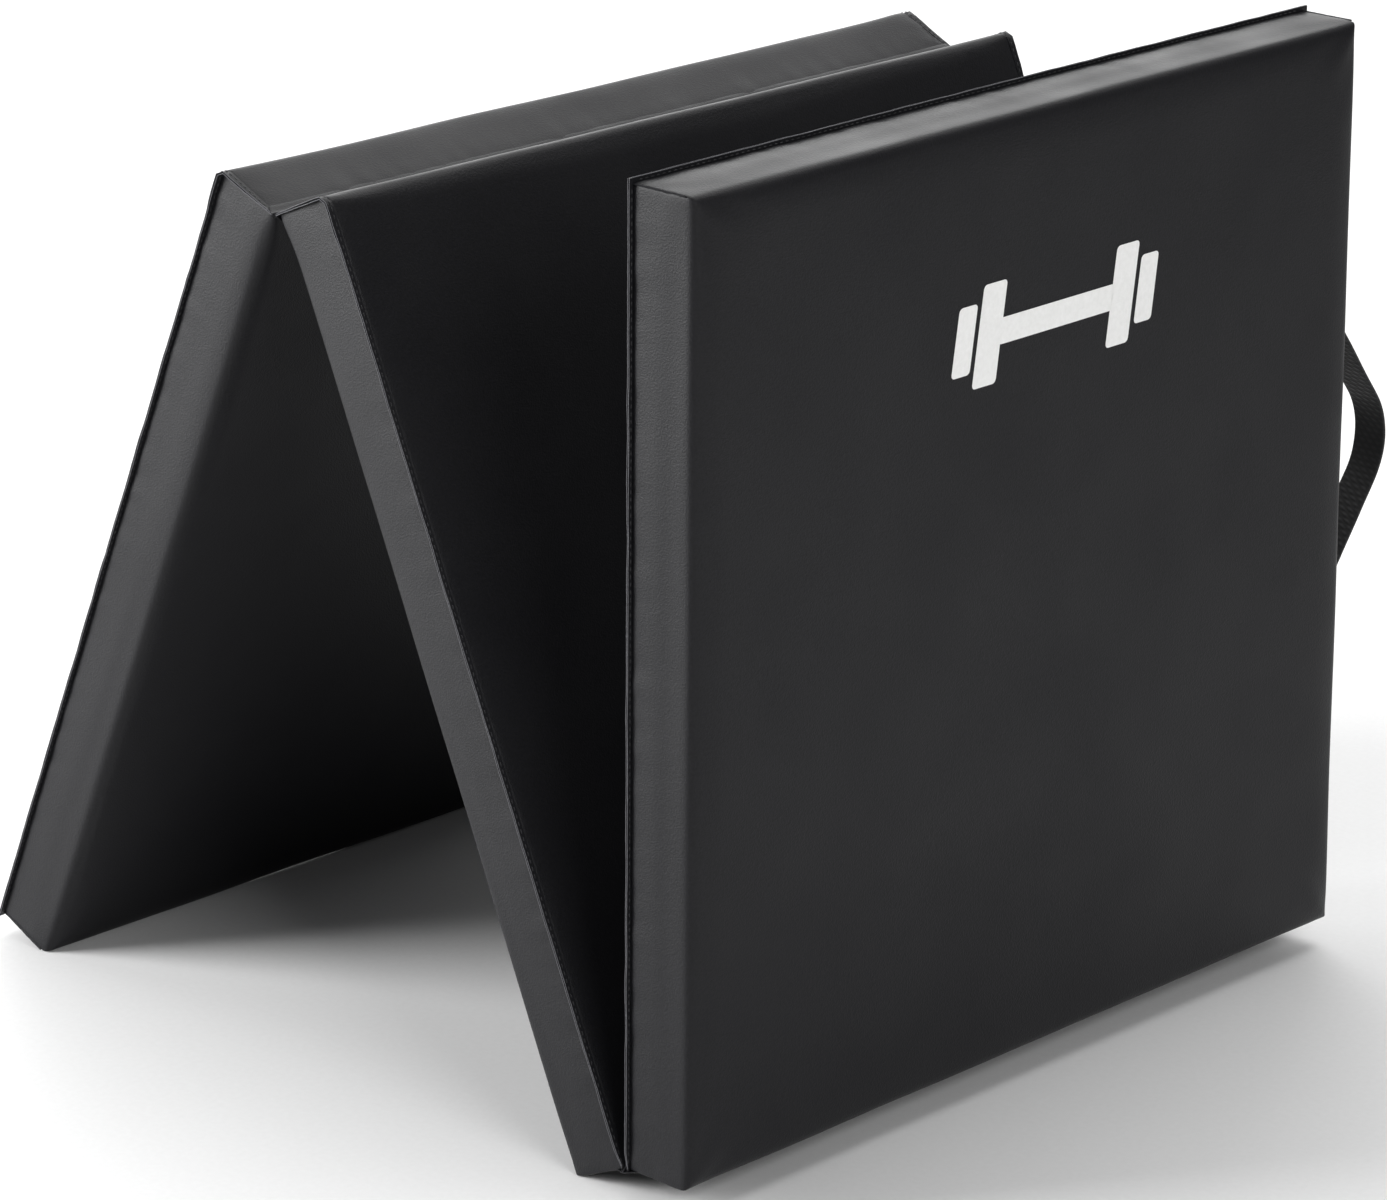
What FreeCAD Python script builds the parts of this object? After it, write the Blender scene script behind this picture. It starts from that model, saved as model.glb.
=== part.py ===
import FreeCAD, Part
import math
import os

import Sketcher
from FreeCAD import Placement, Rotation, Vector

# A three-panel folding gym mat.  Each panel is a foam board in a sewn cover.  The panels are joined
# by two sewn folds that run along Y, and two outer panels carry a webbing handle at one end.
#
# Panel frame (each panel is drawn in it, then placed): X runs through the thickness, from the outer
# sheet at 0 to the wrap's face at panel_thickness; Y runs along the fold, with 0 in the middle;
# Z runs from one end of the panel to the other.

doc = FreeCAD.newDocument("folding_gym_mat")

# ---------------------------------------------------------------------------------------------
# Driving dimensions, in millimetres and degrees
# ---------------------------------------------------------------------------------------------

DIMENSIONS = [
    ("panel_length", 600.0),        # along Z in the panel frame: a third of the unfolded mat
    ("panel_width", 600.0),         # along the fold
    ("panel_thickness", 50.0),      # cover included
    ("lean_angle", 24.0),           # back and middle panels, each from the vertical
    ("fold_gap", 1.0),              # from a fold line to the panel faces and ends beside it
    ("cover_thickness", 0.9),       # coated cloth of the cover
    ("foam_clearance", 0.2),        # between the foam and its cover
    ("edge_radius", 8.0),           # long edges that the wrap or the sheet bends round
    ("lip_width", 5.0),             # how far the seam allowance stands out of the panel
    ("lip_thickness", 2.0),         # the folded plies of the seam allowance
    ("web_clearance", 0.3),         # between a fold's strip and the panels beside it
    ("print_width", 190.0),         # the printed mark on the front panel
    ("print_thickness", 0.12),
    ("print_height", 471.0),        # centre of the mark above the panel's lower end
    ("print_offset", 10.0),         # centre of the mark from the middle of the panel
    ("webbing_width", 25.0),
    ("webbing_thickness", 2.4),
    ("handle_height", 317.0),       # middle of the handle above the panel's lower end
    ("handle_span", 178.0),         # between the feet of the loop
    ("handle_bulge", 57.0),         # how far the loop stands out of the panel's end
    ("handle_grip_start", 26.0),    # above this distance the loop swings as one piece
    ("handle_radius", 46.0),        # the arc of the loop
    ("handle_foot_radius", 14.0),   # where the loop leaves the panel
    ("tab_length", 38.0),           # sewn-down end of the webbing
    ("thread_width", 1.0),
    ("thread_inset", 4.0),          # from the tab's edge to its line of stitches
]

sheet = doc.addObject("Spreadsheet::Sheet", "Sizes")
for row, (alias, value) in enumerate(DIMENSIONS, start=1):
    sheet.set("A%d" % row, alias)
    sheet.set("B%d" % row, str(value))
    sheet.setAlias("B%d" % row, alias)
doc.recompute()


def size(alias):
    """A driving dimension as a number, read back from the sheet."""
    return float(getattr(sheet, alias))


LENGTH = size("panel_length")
WIDTH = size("panel_width")
THICKNESS = size("panel_thickness")
GAP = size("fold_gap")
LIP_WIDTH = size("lip_width")
EDGE_RADIUS = size("edge_radius")
LEAN = math.radians(size("lean_angle"))


# ---------------------------------------------------------------------------------------------
# Where the three panels stand
# ---------------------------------------------------------------------------------------------
# The lower fold is the line that the middle and front panels turn about, on their sheet side.
# The upper fold is on the wrap side of the back and middle panels.  Distances below are measured
# from the lower fold, and the whole mat is then moved so that its box stands on the origin.


def turned(x, z, lean):
    """A point of a panel's X-Z plane after the panel leans by an angle towards +X."""
    return (x * math.cos(lean) + z * math.sin(lean), -x * math.sin(lean) + z * math.cos(lean))


def rounded_low_point(lean):
    """Lowest Z of the rounded edge where the wrap meets a leaning panel's lower end."""
    centre = turned(THICKNESS - EDGE_RADIUS, EDGE_RADIUS, lean)
    return centre[1] - EDGE_RADIUS


panel_turn = {
    "back_panel": Rotation(Vector(0, 1, 0), math.degrees(LEAN)),
    "middle_panel": Rotation(Vector(0, 1, 0), -math.degrees(LEAN)) * Rotation(Vector(0, 0, 1), 180),
    "front_panel": Rotation(),
}
lower_hinge = Vector(-GAP, 0, -GAP)
upper_hinge = Vector(THICKNESS + GAP, 0, LENGTH + GAP)

# Panel origins, measured from the lower fold
panel_start = {"front_panel": -lower_hinge}
panel_start["middle_panel"] = -panel_turn["middle_panel"].multVec(lower_hinge)
upper_fold_place = panel_start["middle_panel"] + panel_turn["middle_panel"].multVec(upper_hinge)
panel_start["back_panel"] = upper_fold_place - panel_turn["back_panel"].multVec(upper_hinge)

floor = panel_start["middle_panel"].z + rounded_low_point(LEAN)
back_lip_corner = panel_turn["back_panel"].multVec(Vector(0, 0, -LIP_WIDTH))
box_low_x = panel_start["back_panel"].x + back_lip_corner.x
box_high_x = panel_start["front_panel"].x + THICKNESS + size("print_thickness")
box_low_y = -WIDTH / 2 - LIP_WIDTH
box_high_y = WIDTH / 2 + size("handle_bulge")
shift = Vector(-(box_low_x + box_high_x) / 2, -(box_low_y + box_high_y) / 2, -floor)

lower_fold = shift
upper_fold = upper_fold_place + shift
panel_place = {name: Placement(start + shift, panel_turn[name]) for name, start in panel_start.items()}


# ---------------------------------------------------------------------------------------------
# Helpers
# ---------------------------------------------------------------------------------------------

PAST = "20"                     # how far a cut runs past the piece that it trims
TOLERANCE = 1e-4

nodes = []


def new_body(name):
    body = doc.addObject("PartDesign::Body", name)
    body.Label = name
    body.AllowCompound = True
    nodes.append(body)
    return body


def rectangle(body, name, start, sides):
    """A rectangle across the panel's thickness; its four sides are expressions on the sheet."""
    sketch = body.newObject("Sketcher::SketchObject", name)
    plane = next(f for f in body.Origin.OriginFeatures if f.Role == "YZ_Plane")
    sketch.AttachmentSupport = [(plane, "")]
    sketch.MapMode = "FlatFace"
    sketch.setExpression("AttachmentOffset.Base.z", start)
    corners = [Vector(-10, -10, 0), Vector(10, -10, 0), Vector(10, 10, 0), Vector(-10, 10, 0)]
    for begin, end in zip(corners, corners[1:] + corners[:1]):
        sketch.addGeometry(Part.LineSegment(begin, end), False)
    for side in range(4):
        sketch.addConstraint(Sketcher.Constraint("Coincident", side, 2, (side + 1) % 4, 1))
        sketch.addConstraint(Sketcher.Constraint(("Horizontal", "Vertical")[side % 2], side))
    for label, kind, corner, value in (
        ("low_y", "DistanceX", 0, -10),
        ("high_y", "DistanceX", 2, 10),
        ("low_z", "DistanceY", 0, -10),
        ("high_z", "DistanceY", 2, 10),
    ):
        index = sketch.addConstraint(Sketcher.Constraint(kind, -1, 1, corner, 1, value))
        sketch.renameConstraint(index, label)
        sketch.setExpression("Constraints." + label, sides[label])
    return sketch


def feature_on(body, kind, name, sketch, **expressions):
    """A Pad or Pocket of a sketch, with its sizes bound to the sheet."""
    feature = body.newObject("PartDesign::" + kind, name)
    feature.Profile = sketch
    for prop, expression in expressions.items():
        feature.setExpression(prop, expression)
    doc.recompute()
    return feature


def names_where(pieces, kind, test):
    return ["%s%d" % (kind, i) for i, piece in enumerate(pieces, start=1) if test(piece.BoundBox)]


def round_edges(body, name, test, radius):
    """Rounds the edges of the body's last feature whose boxes pass a test."""
    base = body.Tip
    fillet = body.newObject("PartDesign::Fillet", name)
    fillet.Base = (base, names_where(base.Shape.Edges, "Edge", test))
    fillet.setExpression("Radius", radius)
    doc.recompute()


def hollow(body, name, open_face, wall):
    """Shells the body inwards and opens the faces whose boxes pass a test."""
    base = body.Tip
    shell = body.newObject("PartDesign::Thickness", name)
    shell.Base = (base, names_where(base.Shape.Faces, "Face", open_face))
    shell.Reversed = True
    shell.setExpression("Value", wall)
    doc.recompute()


def at(value, place):
    return abs(value - place) < TOLERANCE


def flat_at(box, axis, place):
    """Whether a piece with this box lies wholly in one plane across an axis."""
    low, high = getattr(box, axis + "Min"), getattr(box, axis + "Max")
    return at(low, place) and at(high, place)


# ---------------------------------------------------------------------------------------------
# Panels
# ---------------------------------------------------------------------------------------------
# free_end   the end that is not at a fold, where the lip runs across as well: the back panel's
#            lower end and the front panel's upper end; the middle panel has none
# over_top   the sheet bends over the panel's upper end and runs down to the upper fold

PANELS = {
    "back_panel": {"free_end": "lower", "over_top": True},
    "middle_panel": {"free_end": None, "over_top": True},
    "front_panel": {"free_end": "upper", "over_top": False},
}


def panel_block(body, inset, start, depth, top):
    """A panel's own block, drawn inset from its ends."""
    sides = {
        "low_y": "-Sizes.panel_width / 2 + (%s)" % inset,
        "high_y": "Sizes.panel_width / 2 - (%s)" % inset,
        "low_z": inset,
        "high_z": top,
    }
    outline = rectangle(body, body.Label + "_outline", start, sides)
    feature_on(body, "Pad", body.Label + "_block", outline, Length=depth)
    return body.Tip.Shape.BoundBox


def round_wrap_side(body, panel, box, radius):
    """Rounds the edges of the wrap's face, all but the one at the upper fold."""

    def rounded(edge):
        at_fold = panel["over_top"] and flat_at(edge, "Z", box.ZMax)
        return flat_at(edge, "X", box.XMax) and not at_fold

    round_edges(body, body.Label + "_long_edges", rounded, radius)


def round_sheet_bend(body, box, radius):
    """Rounds the edge where the sheet bends over the panel's upper end."""
    round_edges(
        body,
        body.Label + "_bend",
        lambda edge: flat_at(edge, "X", box.XMin) and flat_at(edge, "Z", box.ZMax),
        radius,
    )


def in_sheet(face, box):
    """Whether a face of a panel's block is the outer face, the bend or the upper end."""
    full_width = at(face.YMin, box.YMin) and at(face.YMax, box.YMax)
    outer_side = at(face.XMin, box.XMin) and not flat_at(face, "Z", box.ZMin)
    return full_width and (outer_side or flat_at(face, "Z", box.ZMax))


def build_foam(name, panel):
    """The foam board, a little smaller than the inside of its cover."""
    body = new_body(name + "_foam")
    inset = "Sizes.cover_thickness + Sizes.foam_clearance"
    depth = "Sizes.panel_thickness - 2 * (%s)" % inset
    box = panel_block(body, inset, inset, depth, "Sizes.panel_length - (%s)" % inset)
    inner_radius = "Sizes.edge_radius - (%s)" % inset
    round_wrap_side(body, panel, box, inner_radius)
    if panel["over_top"]:
        round_sheet_bend(body, box, inner_radius)
    return body


def build_wrap(name, panel):
    """One piece of coated cloth: the panel's face and the walls round it."""
    body = new_body(name + "_wrap")
    top = "Sizes.panel_length"
    if panel["over_top"]:
        top = "Sizes.panel_length - Sizes.cover_thickness"
    depth = "Sizes.panel_thickness - Sizes.cover_thickness"
    box = panel_block(body, "0", "Sizes.cover_thickness", depth, top)
    round_wrap_side(body, panel, box, "Sizes.edge_radius")
    if panel["over_top"]:
        round_sheet_bend(body, box, "Sizes.edge_radius - Sizes.cover_thickness")

    def open_face(face):
        return in_sheet(face, box) if panel["over_top"] else flat_at(face, "X", box.XMin)

    hollow(body, body.Label + "_shell", open_face, "Sizes.cover_thickness")
    return body


def build_sheet(name, panel):
    """The sheet sewn to the wrap: flat, or bent over the panel's upper end."""
    body = new_body(name + "_sheet")
    if not panel["over_top"]:
        panel_block(body, "0", "0", "Sizes.cover_thickness", "Sizes.panel_length")
        return body
    box = panel_block(body, "0", "0", "Sizes.panel_thickness", "Sizes.panel_length")
    round_sheet_bend(body, box, "Sizes.edge_radius")
    hollow(body, body.Label + "_shell", lambda face: not in_sheet(face, box), "Sizes.cover_thickness")
    return body


def build_lip(name, panel):
    """The seam allowance that stands out of the panel all along the sheet's edge."""
    body = new_body(name + "_seam_lip")
    lip = "Sizes.lip_width"
    ends = {"low_z": "0", "high_z": "Sizes.panel_length"}
    trim = {"low_z": "-" + PAST, "high_z": "Sizes.panel_length + " + PAST}
    if panel["free_end"] == "lower":
        ends["low_z"] = "-" + lip
        trim["low_z"] = "0"
    if panel["free_end"] == "upper":
        ends["high_z"] = "Sizes.panel_length + " + lip
        trim["high_z"] = "Sizes.panel_length"
    outer = {"low_y": "-Sizes.panel_width / 2 - " + lip, "high_y": "Sizes.panel_width / 2 + " + lip}
    inner = {"low_y": "-Sizes.panel_width / 2", "high_y": "Sizes.panel_width / 2"}
    depth = "Sizes.panel_thickness" if panel["over_top"] else "Sizes.lip_thickness"

    outline = rectangle(body, body.Label + "_outline", "0", {**outer, **ends})
    feature_on(body, "Pad", body.Label + "_block", outline, Length=depth)
    box = body.Tip.Shape.BoundBox
    if panel["over_top"]:
        round_sheet_bend(body, box, "Sizes.edge_radius")
        hollow(body, body.Label + "_shell", lambda face: not in_sheet(face, box), "Sizes.lip_thickness")

    middle = rectangle(body, body.Label + "_middle", "-" + PAST, {**inner, **trim})
    through = "Sizes.panel_thickness + 2 * " + PAST
    pocket = feature_on(body, "Pocket", body.Label + "_opening", middle, Length=through)
    pocket.Reversed = True
    doc.recompute()
    return body


# ---------------------------------------------------------------------------------------------
# Folds
# ---------------------------------------------------------------------------------------------


def build_fold_web(name, fold, half_angle, bisector_turn, side):
    """The strip of cover that joins two panels along a fold; side is +1 where they stand above it."""
    web = doc.addObject("Part::Box", name)
    web.Label = name
    nodes.append(web)
    between = 2 * (GAP * (math.cos(half_angle) + math.sin(half_angle)) - size("web_clearance"))
    web.Length = between
    web.setExpression("Width", "Sizes.panel_width")
    web.setExpression("Height", "Sizes.cover_thickness")
    doc.recompute()
    rise = side * GAP * (math.cos(half_angle) - math.sin(half_angle))
    turn = Rotation(Vector(0, 1, 0), math.degrees(bisector_turn))
    corner = Vector(-between / 2, -web.Width.Value / 2, rise - web.Height.Value / 2)
    web.Placement = Placement(fold + turn.multVec(corner), turn)
    return web


# ---------------------------------------------------------------------------------------------
# Printed mark: a plain dumbbell, lying on the front panel's face
# ---------------------------------------------------------------------------------------------

# Each bar of the mark as shares of its width: where it starts, how long it is, how tall it is
PRINT_BARS = [
    ("handle_bar", 0.235, 0.53, 0.085),
    ("left_outer_plate", 0.02, 0.085, 0.22),
    ("left_inner_plate", 0.125, 0.11, 0.325),
    ("right_inner_plate", 0.765, 0.11, 0.325),
    ("right_outer_plate", 0.895, 0.085, 0.22),
]


def build_print(name):
    """A film of ink on the panel's face: five bars side by side."""
    bars = []
    for label, start, span, height in PRINT_BARS:
        bar = doc.addObject("Part::Box", label)
        bar.setExpression("Length", "Sizes.print_thickness")
        bar.setExpression("Width", "Sizes.print_width * %s" % span)
        bar.setExpression("Height", "Sizes.print_width * %s" % height)
        bar.setExpression("Placement.Base.y", "Sizes.print_width * %s" % (start - 0.5))
        bar.setExpression("Placement.Base.z", "-Sizes.print_width * %s" % (height / 2))
        bars.append(bar)
    mark = doc.addObject("Part::MultiFuse", name)
    mark.Label = name
    mark.Shapes = bars
    nodes.append(mark)
    doc.recompute()
    middle = Vector(THICKNESS, size("print_offset"), size("print_height"))
    mark.Placement = panel_place["front_panel"] * Placement(middle, Rotation())
    return mark


# ---------------------------------------------------------------------------------------------
# Webbing handles
# ---------------------------------------------------------------------------------------------
# A handle is one length of webbing, sewn down flat at both ends.  It is drawn in its own Y-Z
# plane, with Y out of the panel's end and Z along the panel, both from the middle of the handle.
# The drawing follows the webbing's middle line: tab, foot arc, straight leg, then the loop's arc.

WEBBING = size("webbing_thickness")
SPAN = size("handle_span")
LOOP_RADIUS = size("handle_radius")
FOOT_RADIUS = size("handle_foot_radius")
HALF_SPAN = SPAN / 2

middle_line = WEBBING / 2
crown_rise = size("handle_bulge") - WEBBING
crown_centre = crown_rise - LOOP_RADIUS
# The legs' slope from the panel's end, where a straight leg meets both the foot and the loop's arc
reach = math.hypot(HALF_SPAN, -crown_centre)
leg_slope = math.asin(LOOP_RADIUS / reach) + math.atan2(crown_centre, HALF_SPAN)
foot_run = FOOT_RADIUS * math.tan(leg_slope / 2)


def facing(angle):
    """The direction away from the loop, at an angle from straight out towards the lower end."""
    return Vector(0, math.cos(angle), -math.sin(angle))


def on_leg(rise):
    """A point of the lower leg's middle line, a given distance above the tab's."""
    return Vector(0, middle_line + rise, -HALF_SPAN + rise / math.tan(leg_slope))


def straight(begin, end, angle):
    return [(begin, facing(angle)), (end, facing(angle))]


def arc(centre, radius, angles, side):
    """Three points of an arc; side is +1 where the arc faces away from its centre."""
    return [(centre + facing(angle) * radius * side, facing(angle)) for angle in angles]


def webbing_band(stretch):
    """A full-width band of webbing along one stretch of the middle line."""
    rims = []
    for side in (WEBBING / 2, -WEBBING / 2):
        rims.append([point + normal * side for point, normal in stretch])
    curve = Part.Arc if len(stretch) == 3 else Part.LineSegment
    edges = [curve(*rim).toShape() for rim in rims]
    edges += [Part.LineSegment(rims[0][end], rims[1][end]).toShape() for end in (0, -1)]
    face = Part.Face(Part.Wire(Part.__sortEdges__(edges)))
    face.translate(Vector(-size("webbing_width") / 2, 0, 0))
    return face.extrude(Vector(size("webbing_width"), 0, 0))


def with_mirror(bands):
    """The lower half's bands and the same bands at the upper half."""
    return bands + [band.mirror(Vector(0, 0, 0), Vector(0, 0, 1)) for band in bands]


def joined(bands):
    solid = bands[0].fuse(bands[1:]) if len(bands) > 1 else bands[0]
    return solid.removeSplitter()


foot_centre = Vector(0, middle_line + FOOT_RADIUS, -HALF_SPAN - foot_run)
tab_low = Vector(0, middle_line, foot_centre.z - size("tab_length"))
tab_high = Vector(0, middle_line, foot_centre.z)
grip_rise = size("handle_grip_start") - middle_line
crown = Vector(0, middle_line + crown_centre, 0)

tab_stretch = straight(tab_low, tab_high, 0)
foot_stretch = arc(foot_centre, FOOT_RADIUS, (0, leg_slope / 2, leg_slope), -1)
leg_stretch = straight(on_leg(FOOT_RADIUS * (1 - math.cos(leg_slope))), on_leg(grip_rise), leg_slope)
shoulder_stretch = straight(on_leg(grip_rise), crown + facing(leg_slope) * LOOP_RADIUS, leg_slope)
crown_stretch = arc(crown, LOOP_RADIUS, (leg_slope, 0, -leg_slope), 1)


def stitch(begin, end):
    """One line of thread on a tab, between two (x, z) points, standing half its width proud."""
    width = size("thread_width")
    run = Vector(end[0] - begin[0], 0, end[1] - begin[1])
    line = Part.makeBox(width, width / 2, run.Length)
    line.translate(Vector(-width / 2, 0, 0))
    turn = Rotation(Vector(0, 0, 1), run)
    line.Placement = Placement(Vector(begin[0], WEBBING, begin[1]), turn) * line.Placement
    return line


def box_stitching():
    """A box with a cross in it, sewn through each tab."""
    half = size("webbing_width") / 2 - size("thread_inset")
    low = tab_low.z + size("thread_inset")
    high = tab_high.z - size("thread_inset")
    corners = [(-half, low), (half, low), (half, high), (-half, high)]
    lines = [stitch(*pair) for pair in zip(corners, corners[1:] + corners[:1])]
    lines += [stitch(corners[0], corners[2]), stitch(corners[1], corners[3])]
    return lines


def handle_node(name, solids, place):
    piece = doc.addObject("Part::Feature", name)
    piece.Label = name
    piece.Shape = solids[0] if len(solids) == 1 else Part.makeCompound(solids)
    piece.Placement = place
    nodes.append(piece)


def build_handle(panel_name, handle_name):
    """A handle on the panel's far end, in the middle of its thickness."""
    leg = joined([webbing_band(foot_stretch), webbing_band(leg_stretch)])
    thread = joined(box_stitching())
    grip = joined(with_mirror([webbing_band(shoulder_stretch)]) + [webbing_band(crown_stretch)])
    middle = Vector(THICKNESS / 2, WIDTH / 2, size("handle_height"))
    place = panel_place[panel_name] * Placement(middle, Rotation())
    handle_node(handle_name + "_grip", [grip], place)
    handle_node(handle_name + "_legs", with_mirror([leg]), place)
    handle_node(handle_name + "_tabs", with_mirror([webbing_band(tab_stretch)]), place)
    handle_node(handle_name + "_stitching", with_mirror([thread]), place)


# ---------------------------------------------------------------------------------------------
# Build, check and write
# ---------------------------------------------------------------------------------------------

for panel_name, panel in PANELS.items():
    for build_piece in (build_foam, build_wrap, build_sheet, build_lip):
        build_piece(panel_name, panel).Placement = panel_place[panel_name]

build_fold_web("upper_fold_web", upper_fold, LEAN, 0, -1)
build_fold_web("lower_fold_web", lower_fold, LEAN / 2, -LEAN / 2, 1)
build_print("front_panel_print")
build_handle("front_panel", "front_handle")
build_handle("back_panel", "back_handle")
doc.recompute()

for thing in doc.Objects:
    if {"Invalid", "Error"} & set(thing.State):
        raise RuntimeError("%s did not recompute: %s" % (thing.Name, thing.State))
for node in nodes:
    if node.Shape.isNull() or not node.Shape.isValid():
        raise RuntimeError("%s has no valid shape" % node.Label)

os.makedirs("parts", exist_ok=True)
for node in nodes:
    node.Shape.exportStep("parts/%s.step" % node.Label)
    print("%-26s %d solid(s) %10.1f mm3" % (node.Label, len(node.Shape.Solids), node.Shape.Volume))

for label, point in (("lower fold", lower_fold), ("upper fold", upper_fold)):
    print("%s: x %.4f  y %.4f  z %.4f" % (label, point.x, point.y, point.z))
for panel_name, place in panel_place.items():
    start = place.Base
    print("%s starts at x %.4f  y %.4f  z %.4f" % (panel_name, start.x, start.y, start.z))
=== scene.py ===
# %% [markdown]
# # A folding gym mat
# The mat is three foam boards in sewn covers of black coated cloth.  It stands here as a zigzag: the
# back and middle panels lean on each other like a tent, and the front panel stands upright.  The
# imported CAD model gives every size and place, and this lesson gives each piece its looks.

# %% Load the frame
import bpy
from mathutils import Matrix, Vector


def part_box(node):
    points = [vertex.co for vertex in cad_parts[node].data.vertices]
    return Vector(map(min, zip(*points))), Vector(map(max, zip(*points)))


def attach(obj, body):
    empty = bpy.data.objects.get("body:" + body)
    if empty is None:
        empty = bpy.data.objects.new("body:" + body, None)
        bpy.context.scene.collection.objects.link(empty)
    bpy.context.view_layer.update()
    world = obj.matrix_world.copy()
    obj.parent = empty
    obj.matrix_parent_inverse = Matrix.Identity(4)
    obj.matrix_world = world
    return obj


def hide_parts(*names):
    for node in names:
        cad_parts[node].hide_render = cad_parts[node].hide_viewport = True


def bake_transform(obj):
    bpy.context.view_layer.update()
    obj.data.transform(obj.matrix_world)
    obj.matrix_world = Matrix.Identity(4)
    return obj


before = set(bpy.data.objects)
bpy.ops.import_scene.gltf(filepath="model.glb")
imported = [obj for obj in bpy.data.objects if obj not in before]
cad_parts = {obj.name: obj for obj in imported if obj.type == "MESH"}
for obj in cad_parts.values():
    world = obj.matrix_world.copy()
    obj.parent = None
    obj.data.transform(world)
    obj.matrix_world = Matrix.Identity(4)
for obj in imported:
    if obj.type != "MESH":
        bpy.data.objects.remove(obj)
bpy.context.view_layer.update()

# %% [markdown]
# Each panel is easiest to model lying in its own frame: X runs through its thickness from the plain
# outer sheet to the wrapped face, Y runs along the folds, and Z runs up the panel.  A matrix for each
# panel then puts the finished piece in its place, and the piece's object is left at the origin.  Only
# the front panel's corner is read from the frame: the middle panel hangs on it by the lower fold, and
# the back panel on the middle one by the upper fold.

# %% The three panel frames
import bmesh
import math
from mathutils import Matrix, Vector, noise

LENGTH = 0.6
HALF_WIDTH = 0.3
THICK = 0.05
BEND = 0.0065                   # radius where the cloth turns an edge without a seam
LEAN = math.radians(24)         # how far the back and middle panels lean from upright
OUTSIDE = 0.001                 # how far a fold line runs outside the corners of its panels
HALF_GAP = 0.0004               # just under half of the 1 mm between two folded panels


def settled(spot):
    """A place to a tenth of a micrometre: what the frame says beyond that is rounding noise."""
    return Vector([round(v, 7) for v in spot])


def hung(fold, turn, corner):
    """A panel's matrix: it is turned as given, and one spot of its own frame is on a fold line."""
    return Matrix.Translation(settled(fold + turn @ -corner)) @ turn


below = Vector((-OUTSIDE, 0, -OUTSIDE))
above = Vector((THICK + OUTSIDE, 0, LENGTH + OUTSIDE))
low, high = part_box("front_panel_sheet")
front_corner = settled((low.x, (low.y + high.y) / 2, low.z))
LOWER_FOLD = settled(front_corner + below)
facing_back = Matrix.Rotation(-LEAN, 4, "Y") @ Matrix.Rotation(math.pi, 4, "Z")
middle_place = hung(LOWER_FOLD, facing_back, below)
UPPER_FOLD = settled(middle_place @ above)
PLACE = {
    "front_panel": Matrix.Translation(front_corner),
    "middle_panel": middle_place,
    "back_panel": hung(UPPER_FOLD, Matrix.Rotation(LEAN, 4, "Y"), above),
}

for panel, where in PLACE.items():
    print(panel, "stands at", [round(v, 4) for v in where.translation])

# %% [markdown]
# Working without a window, every operator acts on what is selected, so these helpers start a piece
# from a primitive with nothing else selected, pick faces or edges by their place, and put the
# finished piece where it belongs.


# %% Modelling helpers
def only(piece):
    """Selects one object and nothing else."""
    bpy.ops.object.select_all(action="DESELECT")
    piece.select_set(True)
    bpy.context.view_layer.objects.active = piece


def block(name, low, high):
    """A box between two corners, with its size already in its mesh."""
    bpy.ops.object.select_all(action="DESELECT")
    middle = (Vector(low) + Vector(high)) / 2
    bpy.ops.mesh.primitive_cube_add(size=1, location=middle)
    piece = bpy.context.object
    piece.name = name
    piece.scale = Vector(high) - Vector(low)
    bpy.ops.object.transform_apply(location=True, rotation=True, scale=True)
    return piece


def pick(kind, wanted):
    """Selects the faces or edges of the piece being edited whose place answers the question."""
    bpy.ops.mesh.select_mode(type={"edges": "EDGE", "faces": "FACE"}[kind])
    bpy.ops.mesh.select_all(action="DESELECT")
    mesh = bmesh.from_edit_mesh(bpy.context.object.data)
    chosen = [part for part in getattr(mesh, kind) if wanted(part)]
    for part in chosen:
        part.select_set(True)
    bmesh.update_edit_mesh(bpy.context.object.data)


def runs_along(edge, axis, shortest=0.02):
    """Whether an edge lies along an axis and is longer than a rounding's own edges."""
    run = edge.verts[1].co - edge.verts[0].co
    return abs(run[axis]) > 0.98 * run.length and run.length > shortest


def cut_across(axis, count, shortest=0.02):
    """Cuts every long edge that runs along an axis, which lays evenly spaced loops round it."""
    pick("edges", lambda edge: runs_along(edge, axis, shortest))
    bpy.ops.mesh.subdivide(number_cuts=count)


def apply_all(piece):
    """Applies the piece's modifiers, top to bottom."""
    only(piece)
    for modifier in list(piece.modifiers):
        bpy.ops.object.modifier_apply(modifier=modifier.name)


def place(piece, panel):
    """Moves a piece from its panel's own frame to the mat, and leaves its object at the origin.
    The front panel stands alone, so it is a little out of true towards its top: its near corner
    leans 6 mm outwards, and its far corner is squeezed 4 mm thinner."""
    only(piece)
    if panel == "front_panel":
        for vertex in piece.data.vertices:
            nearness = (1 - vertex.co.y / HALF_WIDTH) / 2
            leaning = 0.006 * nearness ** 2
            squeezed = 0.004 * (1 - nearness) ** 2 * vertex.co.x / THICK
            vertex.co.x += (leaning - squeezed) * vertex.co.z / LENGTH
    piece.matrix_world = PLACE[panel]
    bpy.ops.object.transform_apply(location=True, rotation=True, scale=True)
    return piece


def smooth(piece, degrees=40):
    """Shades the piece smooth, but leaves edges sharper than an angle sharp."""
    only(piece)
    bpy.ops.object.shade_smooth_by_angle(angle=math.radians(degrees))


def join(name, pieces):
    """Makes several pieces one, under a new name."""
    only(pieces[0])
    for piece in pieces[1:]:
        piece.select_set(True)
    bpy.ops.object.join()
    pieces[0].name = name
    return pieces[0]


print("modelling helpers ready")

# %% [markdown]
# ## Finishes
# All the colours are near black, so what tells the pieces apart is how each one catches light.  The
# cover is a polyester cloth with a thin pressed coat of polyurethane: a soft sheen broken up by a
# fine leather-like grain.  The webbing is woven nylon, which stays dull, and the ink is flat white.


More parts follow.
